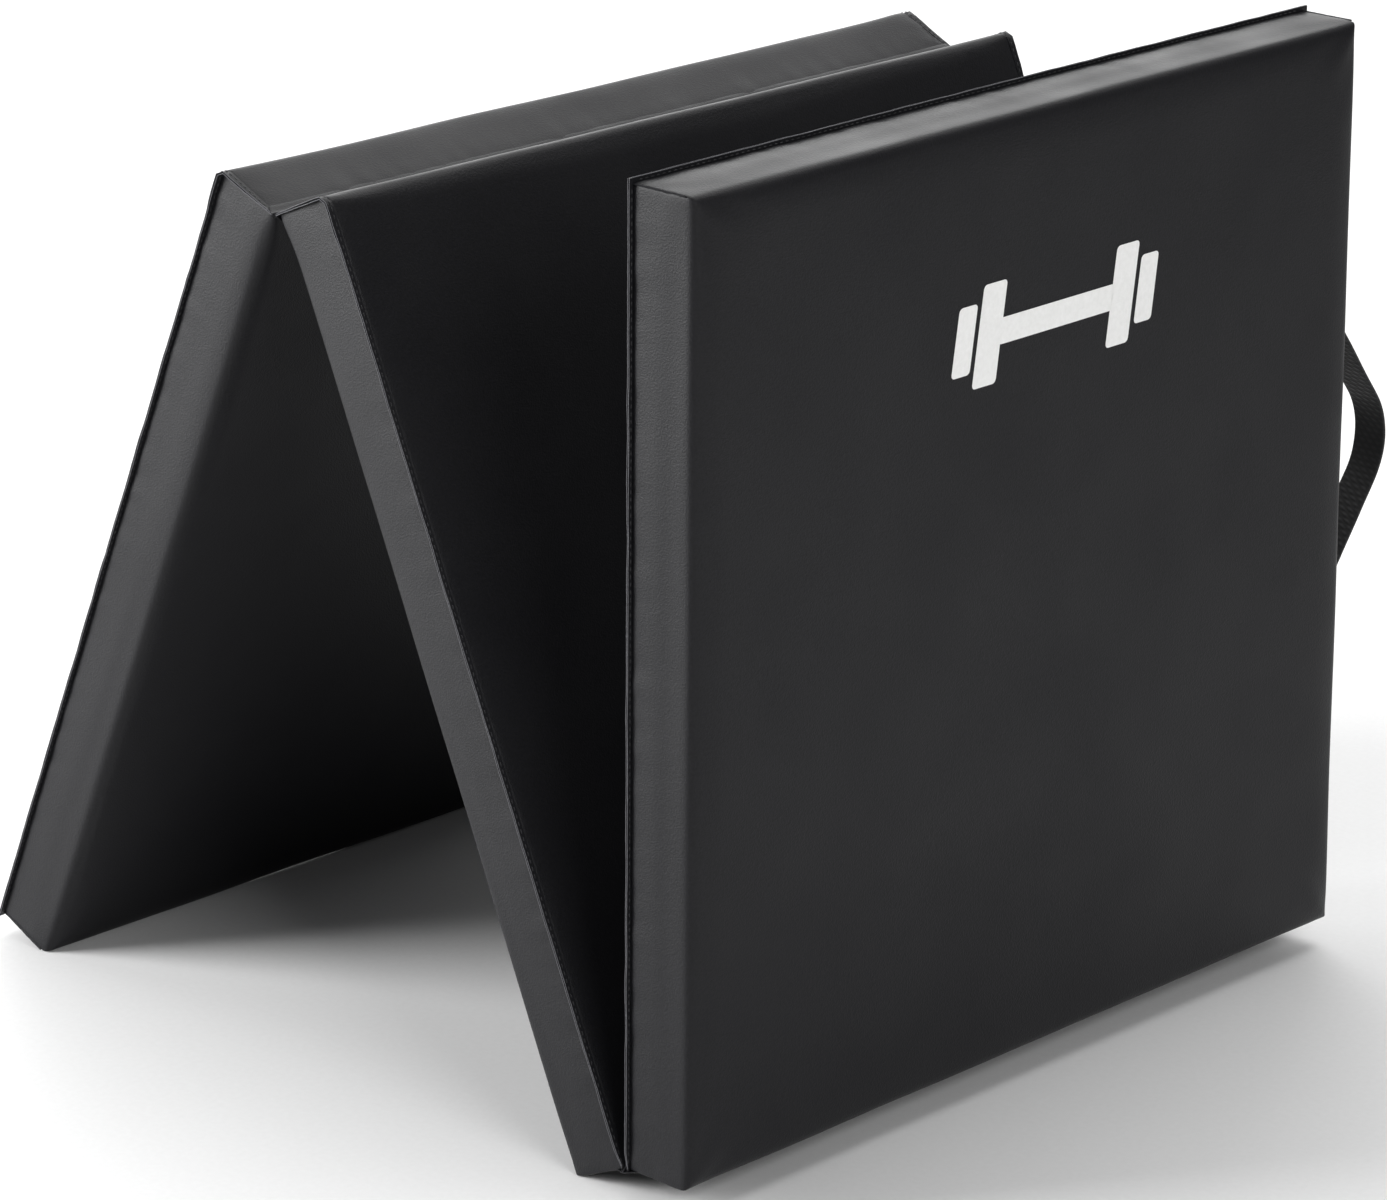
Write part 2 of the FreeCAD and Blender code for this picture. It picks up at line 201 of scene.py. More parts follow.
# %% Helpers for materials
def colour(text):
    """An sRGB hex value as linear RGBA, as the shaders need it."""
    parts = [int(text[i:i + 2], 16) / 255 for i in (1, 3, 5)]
    linear = [p / 12.92 if p <= 0.04045 else ((p + 0.055) / 1.055) ** 2.4 for p in parts]
    return (*linear, 1)


def add_node(tree, kind, settings=None, values=None, links=None):
    """Adds a node with its settings, its sockets' values, and links into it from other sockets."""
    node = tree.nodes.new(kind)
    for name, value in (settings or {}).items():
        setattr(node, name, value)
    for name, value in (values or {}).items():
        node.inputs[name].default_value = value
    for name, socket in (links or {}).items():
        tree.links.new(socket, node.inputs[name])
    return node


def new_material(name, values):
    """A material with an empty Principled shader, and its tree and shader to build on."""
    material = bpy.data.materials.new(name)
    material.use_nodes = True
    shader = material.node_tree.nodes["Principled BSDF"]
    for socket, value in values.items():
        shader.inputs[socket].default_value = value
    return material, material.node_tree, shader


def per_metre(millimetres):
    """The scale of a pattern whose features are this far apart, for coordinates in metres."""
    return 1000 / millimetres


print("material helpers ready")


# %% Coated cloth of the covers
def coated_cloth(name, dark, light, roughness):
    """Polyurethane-coated polyester: a pressed grain about 1.1 mm across under a soft satin coat."""
    material, tree, shader = new_material(name, {"IOR": 1.5, "Specular IOR Level": 0.21})
    place_on = add_node(tree, "ShaderNodeTexCoord").outputs["Object"]
    # Real grain is nearer 0.7 mm; it is drawn a little coarser so that it still shows
    grain = add_node(tree, "ShaderNodeTexVoronoi", {"feature": "SMOOTH_F1"},
                     {"Scale": per_metre(1.1), "Smoothness": 0.6}, {"Vector": place_on})
    fine = add_node(tree, "ShaderNodeTexNoise", {},
                    {"Scale": per_metre(1.9), "Detail": 3, "Roughness": 0.6}, {"Vector": place_on})
    # Foam and stitching pull the cloth about, which shows as faint broad ripples in the sheen
    ripple = add_node(tree, "ShaderNodeTexNoise", {},
                      {"Scale": per_metre(70), "Detail": 2, "Roughness": 0.5}, {"Vector": place_on})
    tone = add_node(tree, "ShaderNodeMix", {"data_type": "RGBA"},
                    {"A": colour(dark), "B": colour(light)}, {"Factor": fine.outputs["Fac"]})
    satin = add_node(tree, "ShaderNodeMapRange", {},
                     {"From Min": 0.3, "From Max": 0.7, "To Min": roughness - 0.04,
                      "To Max": roughness + 0.05}, {"Value": ripple.outputs["Fac"]})
    pressed = add_node(tree, "ShaderNodeBump", {}, {"Strength": 0.6, "Distance": 0.00022},
                       {"Height": grain.outputs["Distance"]})
    rippled = add_node(tree, "ShaderNodeBump", {}, {"Strength": 0.5, "Distance": 0.0003},
                       {"Height": ripple.outputs["Fac"], "Normal": pressed.outputs["Normal"]})
    tree.links.new(tone.outputs["Result"], shader.inputs["Base Color"])
    tree.links.new(satin.outputs["Result"], shader.inputs["Roughness"])
    tree.links.new(rippled.outputs["Normal"], shader.inputs["Normal"])
    return material


COVER = coated_cloth("polyurethane coated polyester", "#0E0E10", "#202023", 0.46)
SEAM = coated_cloth("coated cloth of the seam lips", "#161618", "#1F1F22", 0.42)
# The lips' outer edges are painted a lighter grey than the coat, as a painted highlight for the thin bright
# line along them; the finish there is quite dull
LIP_EDGE_HIGHLIGHT = coated_cloth("lip edge cloth with painted highlight", "#4A4A4D", "#6A6A6E", 0.7)
print("made", COVER.name + ",", SEAM.name, "and", LIP_EDGE_HIGHLIGHT.name)

# %% Thread, webbing and ink
THREAD, tree, shader = new_material("spun polyester thread", {"Roughness": 0.6, "IOR": 1.5})
place_on = add_node(tree, "ShaderNodeTexCoord").outputs["Object"]
twist = add_node(tree, "ShaderNodeTexNoise", {}, {"Scale": per_metre(0.8), "Detail": 2},
                 {"Vector": place_on})
plies = add_node(tree, "ShaderNodeMix", {"data_type": "RGBA"},
                 {"A": colour("#111112"), "B": colour("#303033")}, {"Factor": twist.outputs["Fac"]})
tree.links.new(plies.outputs["Result"], shader.inputs["Base Color"])

# Webbing: ribs run across the band, 2 mm apart, and the yarns in them lean one way and the other
WEBBING, tree, shader = new_material("woven nylon webbing", {"Roughness": 0.75, "IOR": 1.5,
                                                              "Sheen Weight": 0.15})
flat = add_node(tree, "ShaderNodeUVMap", {"uv_map": "band"}).outputs["UV"]
ribs = add_node(tree, "ShaderNodeTexWave", {"wave_type": "BANDS", "bands_direction": "X"},
                {"Scale": per_metre(2.0) / 20 * math.pi, "Distortion": 0.6, "Detail": 1},
                {"Vector": flat})
yarns = add_node(tree, "ShaderNodeTexWave", {"wave_type": "BANDS", "bands_direction": "DIAGONAL"},
                 {"Scale": per_metre(1.6) / 20 * math.pi, "Distortion": 0.4}, {"Vector": flat})
weave = add_node(tree, "ShaderNodeMath", {"operation": "MULTIPLY"}, {},
                 {0: ribs.outputs["Fac"], 1: yarns.outputs["Fac"]})
nylon = add_node(tree, "ShaderNodeMix", {"data_type": "RGBA"},
                 {"A": colour("#060607"), "B": colour("#1B1B1D")}, {"Factor": weave.outputs["Value"]})
woven = add_node(tree, "ShaderNodeBump", {}, {"Strength": 0.7, "Distance": 0.0004},
                 {"Height": weave.outputs["Value"]})
tree.links.new(nylon.outputs["Result"], shader.inputs["Base Color"])
tree.links.new(woven.outputs["Normal"], shader.inputs["Normal"])

# Screen-printed ink: opaque white, thin enough that the cloth's grain shows through as relief
INK, tree, shader = new_material("screen printed plastisol ink", {"Roughness": 0.5, "IOR": 1.48})
place_on = add_node(tree, "ShaderNodeTexCoord").outputs["Object"]
grain = add_node(tree, "ShaderNodeTexVoronoi", {"feature": "SMOOTH_F1"},
                 {"Scale": per_metre(1.3), "Smoothness": 0.6}, {"Vector": place_on})
cover = add_node(tree, "ShaderNodeTexNoise", {}, {"Scale": per_metre(3), "Detail": 4},
                 {"Vector": place_on})
white = add_node(tree, "ShaderNodeMix", {"data_type": "RGBA"},
                 {"A": colour("#EEEEEC"), "B": colour("#FFFFFE")}, {"Factor": cover.outputs["Fac"]})
relief = add_node(tree, "ShaderNodeBump", {}, {"Strength": 0.2, "Distance": 0.0002},
                  {"Height": grain.outputs["Distance"]})
tree.links.new(white.outputs["Result"], shader.inputs["Base Color"])
tree.links.new(relief.outputs["Normal"], shader.inputs["Normal"])
print("made", THREAD.name + ",", WEBBING.name, "and", INK.name)


# %% Giving a piece its finish
def finish_piece(piece, material, slot, *nodes):
    """Gives the piece the material if it has none, and hides the CAD nodes that it stands for; the slot is
    not used.
    """
    if not piece.data.materials:
        piece.data.materials.append(material)
    if nodes:
        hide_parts(*nodes)
    print(piece.name, "has", len(piece.data.polygons), "faces")


# %% [markdown]
# ## Padded panels
# A panel is a slab of foam in a tight cover, so it is nearly a box, but no face of it is quite flat:
# the foam pushes the cloth out between the seams, and the seams hold it in.  A box is rounded where
# the cloth only bends, nipped in where it is sewn, and cut into a fine grid.  A short cloth
# simulation then blows it up from inside with its seams pinned, and the movement is capped.

# %% What is sewn and what is bent on each panel
# over_top  whether the sheet turns over the panel's upper end, on its way to the next panel
# free      the height of the end with no fold, where the sheet is sewn straight across
# pressed   the broad faces, by their x, that lie on a neighbour when the mat is folded up
# seed      what makes this panel's ripples differ from the others'
PANELS = {
    "back_panel": {"over_top": True, "free": 0.0, "pressed": (THICK,), "seed": 11},
    "middle_panel": {"over_top": True, "free": None, "pressed": (0, THICK), "seed": 23},
    "front_panel": {"over_top": False, "free": LENGTH, "pressed": (0,), "seed": 37},
}
SEAM_RADIUS = 0.0014            # how little a sewn edge is rounded
GRID_CUTS = 74                  # across and up: squares of 8 mm for the cloth simulation
GATHER_START = 0.045            # how far below the upper fold the bends begin to tighten
GATHER_RISE = 0.040             # and over what height they do


def near(value, target):
    """Whether two coordinates are the same but for rounding."""
    return abs(value - target) < 1e-4


def edge_kind(edge, panel):
    """bend, seam or fold: what the cloth does along one edge of the box."""
    a, b = edge.verts[0].co, edge.verts[1].co
    at_x = a.x if near(a.x, b.x) else None
    at_z = a.z if near(a.z, b.z) else None
    wrap_side = at_x is not None and near(at_x, THICK)
    sheet_side = at_x is not None and near(at_x, 0)
    top = at_z is not None and near(at_z, LENGTH)
    if panel["over_top"] and top and wrap_side:
        return "fold"
    if panel["over_top"] and top and sheet_side:
        return "bend"
    if panel["free"] != 0.0 and at_z is not None and near(at_z, 0) and sheet_side:
        return "fold"
    return "bend" if wrap_side else "seam"


def rounded_box(name, panel):
    """The panel's box, rounded where the cloth bends, barely where it is sewn, and cut to a grid."""
    piece = block(name, (0, -HALF_WIDTH, 0), (THICK, HALF_WIDTH, LENGTH))
    bpy.ops.object.mode_set(mode="EDIT")
    pick("edges", lambda edge: edge_kind(edge, panel) == "bend")
    bpy.ops.mesh.bevel(offset=BEND, segments=4, affect="EDGES")

    def still_sharp(edge):
        return edge.is_manifold and edge.calc_face_angle(0) > math.radians(60)

    pick("edges", still_sharp)
    bpy.ops.mesh.bevel(offset=SEAM_RADIUS, segments=2, affect="EDGES")
    cut_across(1, GRID_CUTS)
    cut_across(2, GRID_CUTS)
    cut_across(0, 5)
    bpy.ops.mesh.select_all(action="SELECT")
    bpy.ops.mesh.normals_make_consistent(inside=False)
    bpy.ops.object.mode_set(mode="OBJECT")
    return piece


def tighten_at_fold(piece):
    """Beside the upper fold the stitches gather the bends of the wrap into square corners."""
    for vertex in piece.data.vertices:
        deep = vertex.co.x - (THICK - BEND)
        side = abs(vertex.co.y) - (HALF_WIDTH - BEND)
        if deep > 0 and side > 0 and vertex.co.z > LENGTH - GATHER_START:
            share = min(1, (vertex.co.z - LENGTH + GATHER_START) / GATHER_RISE)
            reach = 1 + share * share * 0.9 * (BEND / max(deep, side) - 1)
            vertex.co.x = THICK - BEND + deep * reach
            vertex.co.y = math.copysign(HALF_WIDTH - BEND + side * reach, vertex.co.y)


for panel_name, panel in PANELS.items():
    panel["cover"] = rounded_box(panel_name + "_cover", panel)
    if panel["over_top"]:
        tighten_at_fold(panel["cover"])
    print(panel_name, "cover starts with", len(panel["cover"].data.vertices), "points")

# %% [markdown]
# The pressure is what pushes the foam against the cloth.  Points within a few millimetres of a seam
# or a fold are pinned.  How far each other point moves is capped smoothly, because a foam
# board is firm and its narrow ends barely crown.  A second pass raises the small puckers that a
# tight line of stitches draws up: they run square to the seam and fade within 2 cm.  The faces that
# lie on each other when the mat is folded up are pressed nearly flat.


# %% Blow up the covers
END_CROWN = 0.0005              # how far the narrow ends may swell
FACE_CROWN = 0.0010             # and how much further the broad faces may
PINNED = 0.0024                 # points this near a seam or a fold don't move
PUCKER = 0.0011                 # height of the ripples beside a seam
PUCKER_PITCH = 0.013            # and about how far apart they are
WANDER = 0.0007                 # how far the broad faces stray from flat


def seam_distance(point, panel):
    """How far a point is from the nearest seam or fold, and where along that seam it is."""
    side = HALF_WIDTH - abs(point.y)
    top = LENGTH - point.z
    fold_x = THICK - point.x if panel["over_top"] else point.x
    lines = [
        (math.hypot(point.x, side), point.z),
        (math.hypot(point.z, side), point.x),
        (math.hypot(top, side), point.x),
        (math.hypot(point.x, point.z), point.y),
        (math.hypot(fold_x, top), point.y),
    ]
    return min(lines)


def blow_up(piece, panel):
    """Runs the cloth under pressure with its seams pinned, then caps how far each point moved."""
    only(piece)
    rest = [v.co.copy() for v in piece.data.vertices]
    most = [END_CROWN + FACE_CROWN * v.normal.x ** 2 for v in piece.data.vertices]
    pinned = [i for i, co in enumerate(rest) if seam_distance(co, panel)[0] < PINNED]
    piece.vertex_groups.new(name="sewn").add(pinned, 1.0, "REPLACE")
    bpy.ops.object.modifier_add(type="CLOTH")
    cloth = piece.modifiers["Cloth"].settings
    cloth.quality = 5
    cloth.mass = 0.3
    cloth.tension_stiffness = 25
    cloth.compression_stiffness = 25
    cloth.bending_stiffness = 2
    cloth.use_pressure = True
    cloth.uniform_pressure_force = 4
    cloth.vertex_group_mass = "sewn"
    cloth.effector_weights.gravity = 0
    for number in range(1, 21):
        bpy.context.scene.frame_set(number)
    bpy.ops.object.modifier_apply(modifier="Cloth")
    bpy.context.scene.frame_set(1)
    furthest = 0
    for vertex, co, cap in zip(piece.data.vertices, rest, most):
        move = vertex.co - co
        furthest = max(furthest, move.length)
        if move.length > 1e-6:
            vertex.co = co + move.normalized() * cap * math.tanh(move.length / cap)
    piece.vertex_groups.clear()
    return furthest


def pucker(piece, panel):
    """Raises fine ripples square to the seams, and lets the broad faces wander a little."""
    shift = panel["seed"]
    normals = [v.normal.copy() for v in piece.data.vertices]
    for vertex, normal in zip(piece.data.vertices, normals):
        away, along = seam_distance(vertex.co, panel)
        ripple = noise.noise((along / PUCKER_PITCH, shift + 40 * vertex.co.y, shift))
        close = math.exp(-away / 0.011) * (1 - math.exp(-away / 0.003))
        broad = noise.noise(vertex.co / 0.11 + Vector((shift, 0, 0)))
        loose = min(1, away / 0.02)
        vertex.co += normal * (PUCKER * ripple * close + WANDER * broad * loose)


def press_flat(piece, panel):
    """A face that lies on a neighbour in the folded mat crowns by less than half the gap there."""
    for vertex in piece.data.vertices:
        for face_x in panel["pressed"]:
            outwards = 1 if face_x else -1
            crown = (vertex.co.x - face_x) * outwards
            if crown > 0:
                vertex.co.x = face_x + outwards * HALF_GAP * math.tanh(crown / HALF_GAP)


for panel_name, panel in PANELS.items():
    cover = panel["cover"]
    moved = blow_up(cover, panel)
    bpy.ops.object.modifier_add(type="SUBSURF")
    cover.modifiers[0].levels = 1
    cover.modifiers[0].render_levels = 1
    apply_all(cover)
    pucker(cover, panel)
    press_flat(cover, panel)
    smooth(cover, 55)
    print(cover.name, "moved up to", round(moved * 1000, 2), "mm before the cap")

# %% [markdown]
# ## Seam lips
# The sheet and the wrap are sewn together with their edges standing out, which leaves a flat lip
# about 3 mm wide all round the sheet.  It is made as a straight band, wavy along its free edge, and
# then laid along the seam: up the side, round the bend, and across the end.


# %% Lay a straight piece along a seam
LIP = 0.0030
PLY = 0.0005                    # one ply of the cover; the lip has two, with a sliver between them
LIP_DEPTH = 0.0012
STITCHES_OUT = 0.0010           # how far out from the panel's side the row of stitches runs
MARGIN = 0.004                  # the row stops this far from the lip's ends
SPREAD = 0.0002                 # how far each ply curls away from the other


def along_side(panel, run):
    """The sheet's outer face at a distance up its side: x and z, and which way is inwards."""
    straight = LENGTH - BEND
    if not panel["over_top"] or run < straight:
        return 0, run, (1, 0)
    turned = (run - straight) / BEND
    if turned < math.pi / 2:
        across, up = math.cos(turned), math.sin(turned)
        return BEND - BEND * across, straight + BEND * up, (across, -up)
    return run - straight - BEND * math.pi / 2 + BEND, LENGTH, (0, -1)


def side_ends(panel):
    """Where the lip starts and stops along the side."""
    first = -LIP if panel["free"] == 0.0 else 0
    if panel["over_top"]:
        return first, LENGTH - BEND + BEND * math.pi / 2 + THICK - BEND
    return first, LENGTH + LIP


def lay_on_side(piece, panel, side):
    """Takes a piece from (along, out, in) to the panel's near side, -1, or far side, +1."""
    for vertex in piece.data.vertices:
        run, out, depth = vertex.co
        x, z, (in_x, in_z) = along_side(panel, run)
        vertex.co = (x + depth * in_x, side * (HALF_WIDTH + out), z + depth * in_z)


def lay_on_end(piece, panel):
    """Takes a piece from (along, out, in) to the free end, where the sheet is sewn straight across."""
    outwards = 1 if panel["free"] > 0 else -1
    for vertex in piece.data.vertices:
        run, out, depth = vertex.co
        vertex.co = (depth, run, panel["free"] + outwards * out)


def right_way_out(piece):
    """Turns all the piece's faces outwards."""
    only(piece)
    bpy.ops.object.mode_set(mode="EDIT")
    bpy.ops.mesh.select_all(action="SELECT")
    bpy.ops.mesh.normals_make_consistent(inside=False)
    bpy.ops.object.mode_set(mode="OBJECT")


print("the back panel's lip runs from", side_ends(PANELS["back_panel"]))


# %% Lips and their stitches
def ease(value, start, end):
    """0 before start, 1 after end, and a smooth rise between them."""
    share = min(1, max(0, (value - start) / (end - start)))
    return share * share * (3 - 2 * share)


def lip_shape(run, out, panel, ends, seed):
    """How far the lip's free edge strays, out and sideways, at one place along it."""
    width = 1 + 0.10 * noise.noise((run / 0.021, seed, 0)) + 0.05 * noise.noise((run / 0.006, seed, 5))
    if panel["over_top"]:
        width *= 1 + 0.35 * ease(run, LENGTH - 0.034, LENGTH - 0.026)
        width *= 1 - 0.45 * ease(run, LENGTH + 0.005, ends[1])
    if panel["free"] != 0.0:
        width *= 1 - 0.6 * ease(-run, -0.014, 0)
    lean = out / LIP
    sway = 0.0005 * noise.noise((run / 0.034, seed, 9)) + 0.0002 * noise.noise((run / 0.009, seed, 3))
    return out * width if out > 0 else out, sway * lean * lean


def lip_ply(name, ends, panel, seed, depth):
    """One ply: a straight band, cut every few millimetres, made wavy, with a painted highlight in lighter
    grey on its outer edge.
    """
    band = block(name, (ends[0], -0.001, depth), (ends[1], LIP, depth + PLY))
    bpy.ops.object.mode_set(mode="EDIT")
    pick("edges", lambda edge: runs_along(edge, 0, 0.02) and edge.verts[0].co.y > 0)
    bpy.ops.mesh.bevel(offset=0.00012, segments=1, affect="EDGES")
    cut_across(0, 99)
    cut_across(1, 2, 0.003)
    bpy.ops.object.mode_set(mode="OBJECT")
    band.data.materials.append(SEAM)
    # The second slot is the lighter grey of the lip's outer edge, a painted highlight; the faces along that
    # edge take it
    band.data.materials.append(LIP_EDGE_HIGHLIGHT)
    for face in band.data.polygons:
        face.material_index = 1 if face.normal.y > 0.5 else 0
    away = 1 if depth > 0 else -1
    for vertex in band.data.vertices:
        out, sway = lip_shape(vertex.co.x, vertex.co.y, panel, ends, seed + depth * 300)
        opened = SPREAD * away * max(0, out / LIP) ** 2
        vertex.co.y = out
        vertex.co.z = max(vertex.co.z + sway + opened, -HALF_GAP)
    return band


def lip_band(name, ends, panel, seed):
    """Both plies of a lip."""
    plies = [lip_ply(name, ends, panel, seed, depth) for depth in (0, LIP_DEPTH - PLY)]
    return join(name, plies)


def stitch_row(name, start, end, out, depth, pitch=0.0046):
    """A straight row of stitches, each a small spindle of thread lying in the cloth."""
    bpy.ops.object.select_all(action="DESELECT")
    bpy.ops.mesh.primitive_ico_sphere_add(subdivisions=1, radius=1)
    row = bpy.context.object
    row.name = name
    row.scale = (pitch * 0.36, 0.00052, 0.00042)
    bpy.ops.object.transform_apply(location=True, rotation=True, scale=True)
    row.location = (start + pitch / 2, out, depth)
    bpy.ops.object.transform_apply(location=True, rotation=True, scale=True)
    bpy.ops.object.modifier_add(type="ARRAY")
    array = row.modifiers["Array"]
    array.count = max(1, int((end - start) / pitch))
    array.use_relative_offset = False
    array.use_constant_offset = True
    array.constant_offset_displace = (pitch, 0, 0)
    apply_all(row)
    return row


def dart(name, panel, side):
    """The wrap's sewn corner: a low tuck along the panel's end, from the lip to the far edge."""
    upwards = 1 if panel["free"] > 0 else -1
    tuck = block(name + "_tuck", (0.0015, -0.001, 0), (0.042, 0.0011, 0.0007))
    bpy.ops.object.mode_set(mode="EDIT")
    cut_across(0, 24)
    bpy.ops.object.mode_set(mode="OBJECT")
    tuck.data.materials.append(SEAM)
    # Second slot: the lighter grey painted highlight of the lip edges, which no face of the tuck uses
    tuck.data.materials.append(LIP_EDGE_HIGHLIGHT)
    row = stitch_row(name + "_dart_row", 0.004, 0.040, -0.0004, -0.0007, pitch=0.0042)
    for piece in (tuck, row):
        for vertex in piece.data.vertices:
            run, out, depth = vertex.co
            wave = 0.0005 * noise.noise((run / 0.006, panel["seed"], side))
            height = -0.0006 + out * (0.7 + 12 * wave)
            vertex.co = (run, side * (HALF_WIDTH + height + depth * 0.7 + wave),
                         panel["free"] + upwards * (height - depth * 0.7))
    return tuck, row


def sewn_edges(name, panel):
    """All the lips of a panel and the stitches along them."""
    bands, rows = [], []
    ends = side_ends(panel)
    for side in (-1, 1):
        band = lip_band(name + "_band", ends, panel, panel["seed"] + side)
        lay_on_side(band, panel, side)
        bands.append(band)
        for depth in (0.0, LIP_DEPTH):
            row = stitch_row(name + "_row", ends[0] + MARGIN, ends[1] - MARGIN, STITCHES_OUT, depth)
            lay_on_side(row, panel, side)
            rows.append(row)
    if panel["free"] is not None:
        across = (-HALF_WIDTH, HALF_WIDTH)
        flat = {"over_top": False, "free": 0.0}
        band = lip_band(name + "_band", across, flat, panel["seed"])
        lay_on_end(band, panel)
        bands.append(band)
        for depth in (0.0, LIP_DEPTH):
            row = stitch_row(name + "_row", across[0] + MARGIN, across[1] - MARGIN, STITCHES_OUT, depth)
            lay_on_end(row, panel)
            rows.append(row)
        for side in (-1, 1):
            tuck, row = dart(name, panel, side)
            bands.append(tuck)
            rows.append(row)
    return join(name + "_seam", bands), join(name + "_seam_stitches", rows)


for panel_name, panel in PANELS.items():
    panel["seam"], panel["stitches"] = sewn_edges(panel_name, panel)
    for piece in (panel["seam"], panel["stitches"]):
        right_way_out(piece)
        smooth(piece, 50)
    print(panel_name, "lip and stitches laid")

# %% [markdown]
# ## Printed mark
# The front carries a plain white dumbbell, screen printed.  Each bar starts as a thin block with
# rounded corners, is cut into small faces so that it can follow the swollen cover, and is dropped
# onto it with a Shrinkwrap.  The bars lean to the right a little, as sports marks do.  What is left
# is a film a tenth of a millimetre thick.

# %% The dumbbell
MARK_WIDTH = 0.190
MARK_MIDDLE = Vector((THICK, 0.010, 0.471))
MARK_LEAN = math.radians(9)
# Where each bar starts along the mark, how long it is that way and how tall: shares of the width
BARS = [
    ("handle_bar", 0.225, 0.55, 0.085),
    ("left_outer_plate", 0.02, 0.085, 0.22),
    ("left_inner_plate", 0.125, 0.11, 0.325),
    ("right_inner_plate", 0.765, 0.11, 0.325),
    ("right_outer_plate", 0.895, 0.085, 0.22),
]


def printed_bar(name, start, span, height):
    """One bar of the mark: the front faces only, above the panel and cut every few millimetres."""
    left = MARK_MIDDLE.y + MARK_WIDTH * (start - 0.5)
    half = MARK_WIDTH * height / 2
    low = (THICK + 0.004, left, MARK_MIDDLE.z - half)
    high = (THICK + 0.005, left + MARK_WIDTH * span, MARK_MIDDLE.z + half)
    bar = block(name, low, high)
    bpy.ops.object.mode_set(mode="EDIT")
    pick("edges", lambda edge: runs_along(edge, 0, 0.0001))
    bpy.ops.mesh.bevel(offset=0.0028, segments=4, affect="EDGES")
    pick("faces", lambda face: face.normal.x < 0.9)
    bpy.ops.mesh.delete(type="FACE")
    for axis, first, last in ((1, low[1], high[1]), (2, low[2], high[2])):
        cuts = int((last - first) / 0.005)
        for number in range(1, cuts):
            bpy.ops.mesh.select_all(action="SELECT")
            spot = [THICK, left, low[2]]
            spot[axis] = first + (last - first) * number / cuts
            facing = [0, 0, 0]
            facing[axis] = 1
            bpy.ops.mesh.bisect(plane_co=spot, plane_no=facing)
    bpy.ops.object.mode_set(mode="OBJECT")
    return bar


mark = join("front_panel_mark", [printed_bar(*bar) for bar in BARS])
for vertex in mark.data.vertices:
    vertex.co.y += (vertex.co.z - MARK_MIDDLE.z) * math.tan(MARK_LEAN)
bpy.ops.object.modifier_add(type="SHRINKWRAP")
drop = mark.modifiers["Shrinkwrap"]
drop.wrap_method = "PROJECT"
drop.use_project_x = True
drop.use_project_y = False
drop.use_project_z = False
drop.use_negative_direction = True
drop.use_positive_direction = True
drop.offset = 0.00008
drop.target = PANELS["front_panel"]["cover"]
bpy.ops.object.modifier_add(type="SOLIDIFY")
mark.modifiers["Solidify"].thickness = 0.0001
mark.modifiers["Solidify"].offset = 1
apply_all(mark)
smooth(mark)
print("the mark has", len(mark.data.polygons), "faces")

# %% [markdown]
# ## Put the panels in their places
# A cover is squeezed flat where it stands on the floor, so no point of it goes below that.

# %% Place covers, lips, stitches and mark
FLOOR_GAP = 0.0004

for panel_name, panel in PANELS.items():
    cover = place(panel["cover"], panel_name)
    for vertex in cover.data.vertices:
        vertex.co.z = max(vertex.co.z, FLOOR_GAP)
    parts = [panel_name + part for part in ("_foam", "_wrap", "_sheet")]
    finish_piece(cover, COVER, "cover_cloth", *parts)
    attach(cover, panel_name)
    seam = place(panel["seam"], panel_name)
    finish_piece(seam, SEAM, "seam_cloth", panel_name + "_seam_lip")
    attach(seam, panel_name)
    rows = place(panel["stitches"], panel_name)
    finish_piece(rows, THREAD, "thread")
    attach(rows, panel_name)

place(mark, "front_panel")
finish_piece(mark, INK, "print_ink", "front_panel_print")
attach(mark, "front_panel")

# %% [markdown]
# ## Fold cloths
# The panels are joined by the cover itself, which passes from one to the next with a line of
# stitches down the fold.  Each fold has two faces, so two strips are made, one on either side of the
# fold line.  A strip starts and ends just inside a panel's surface, so that no edge shows.


# %% A strip across a fold
STRIP_LENGTH = 2 * HALF_WIDTH + 0.007   # it reaches past both ends as far as the lips do


def fold_strip(name, parent, child, fold, profile):
    """A strip whose cross-section follows one panel, dips to the fold line, and follows the other.
    The profile is given on a panel's own frame, and serves both panels."""
    section = [PLACE[child] @ Vector((x, 0, z)) for x, z in profile]
    section.append(fold.copy())
    section += [PLACE[parent] @ Vector((x, 0, z)) for x, z in reversed(profile)]
    steps = len(section) - 1
    bpy.ops.object.select_all(action="DESELECT")
    bpy.ops.mesh.primitive_grid_add(x_subdivisions=steps, y_subdivisions=300, size=1)
    strip = bpy.context.object
    strip.name = name
    for vertex in strip.data.vertices:
        column = round((vertex.co.x + 0.5) * steps)
        spot = section[column].copy()
        along = vertex.co.y * STRIP_LENGTH
        # Past the panels' ends the strip is drawn together, which closes the gap at the fold
        drawn = ease(abs(along), HALF_WIDTH - 0.0005, HALF_WIDTH + 0.0030)
        spot = spot.lerp(fold, 0.85 * drawn)
        wander = noise.noise((along / 0.02, column * 0.3, fold.x * 50))
        spot.z += 0.00025 * wander if 0 < column < steps else 0
        spot.y = fold.y + along
        vertex.co = spot
    bpy.ops.object.modifier_add(type="SOLIDIFY")
    strip.modifiers["Solidify"].thickness = 0.0005
    strip.modifiers["Solidify"].offset = 0
    apply_all(strip)
    right_way_out(strip)
    smooth(strip, 60)
    return strip, sum((b - a).length for a, b in zip(section, section[1:]))


def finish_fold(strip_and_width, child, fold, *nodes):
    """Gives a strip the cover's material, hides the CAD nodes it stands for, and bakes its place into its
    mesh.
    """
    strip, width = strip_and_width
    finish_piece(strip, COVER, "cover_cloth", *nodes)
    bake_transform(strip)


